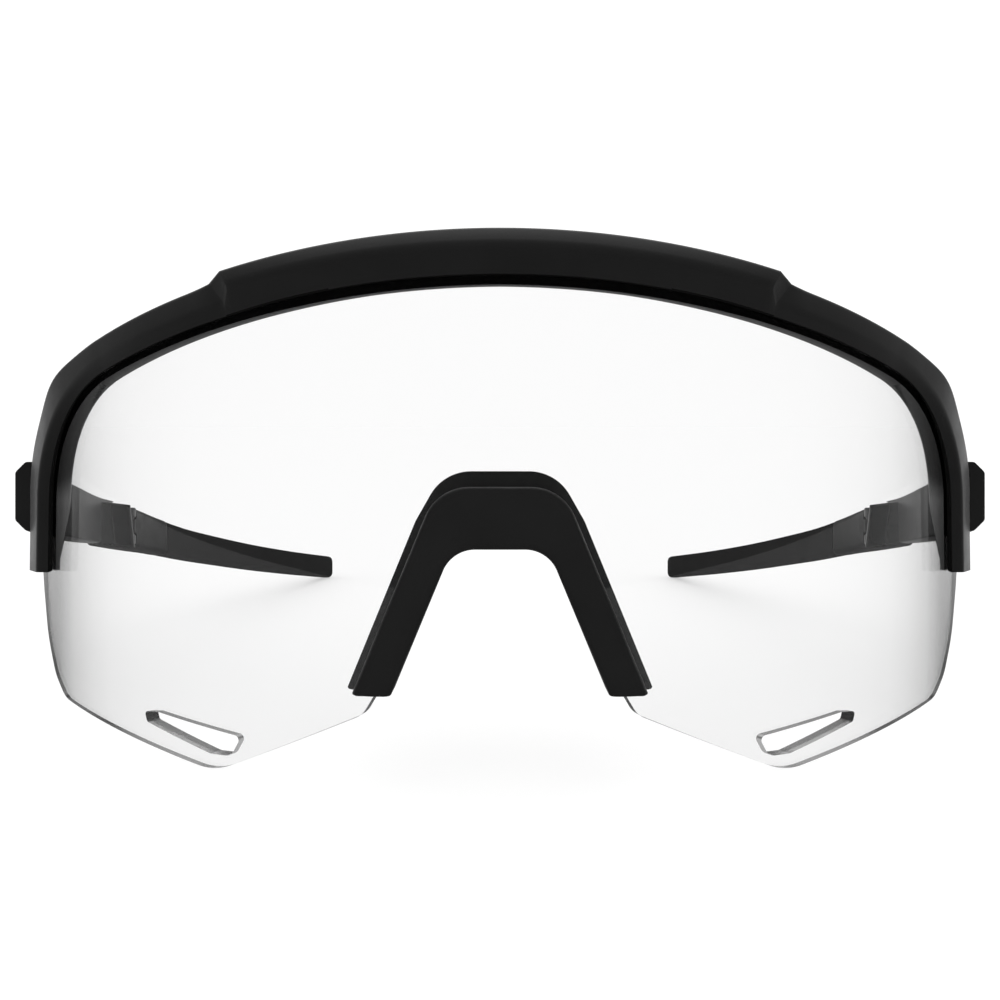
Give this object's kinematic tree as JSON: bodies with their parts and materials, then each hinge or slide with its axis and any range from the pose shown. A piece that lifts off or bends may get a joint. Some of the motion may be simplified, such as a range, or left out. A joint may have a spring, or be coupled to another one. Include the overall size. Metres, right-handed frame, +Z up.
{
  "type": "wraparound sport sunglasses",
  "caption": "Half-frame sport glasses: a clear cylindrical shield lens under a black brow bar, with a clip-on nosepiece, corner vents and folding rubber-sleeved temples.",
  "frame": {"origin": "under the middle of the glasses, on the surface that they rest on, standing on the two lower lobes of the lens and the two temple tips with the temples open", "axes": "+X towards the wearer's left, +Y from the lens back towards the ears, +Z up"},
  "size_m": [0.1452, 0.1574, 0.0658],
  "materials": {
    "frame_plastic": "fine satin moulded black",
    "temple_plastic": "fine satin moulded black",
    "nosepiece_plastic": "matte moulded black",
    "soft_rubber": "soft matte black rubber",
    "lens_clear": "polished clear polycarbonate",
    "core_steel": "bare stainless strip",
    "screw_steel": "turned stainless",
    "brass": "turned brass",
    "nylon": "natural nylon"
  },
  "bodies": {
    "frame": {"frame_front": "frame_plastic", "lens_shield": "lens_clear", "nosepiece_clip": "nosepiece_plastic", "left_nose_pad": "soft_rubber", "right_nose_pad": "soft_rubber", "left_hinge_screw": "screw_steel", "right_hinge_screw": "screw_steel", "left_hinge_insert": "brass", "right_hinge_insert": "brass", "left_hinge_washers": "nylon", "right_hinge_washers": "nylon"},
    "left_temple": {"left_temple_arm": "temple_plastic", "left_temple_sleeve": "soft_rubber", "left_temple_core": "core_steel", "left_hinge_bush": "brass"},
    "right_temple": {"right_temple_arm": "temple_plastic", "right_temple_sleeve": "soft_rubber", "right_temple_core": "core_steel", "right_hinge_bush": "brass"}
  },
  "joints": [
    {"name": "left_temple_fold", "type": "hinge", "parent": "frame", "child": "left_temple", "pos_m": [0.0656, -0.01896, 0.02484], "axis": [0, 0.0867, 0.9962], "range_deg": [0, 95]},
    {"name": "right_temple_fold", "type": "hinge", "parent": "frame", "child": "right_temple", "pos_m": [-0.0656, -0.01896, 0.02484], "axis": [0, -0.0867, -0.9962], "range_deg": [0, 78]}
  ]
}
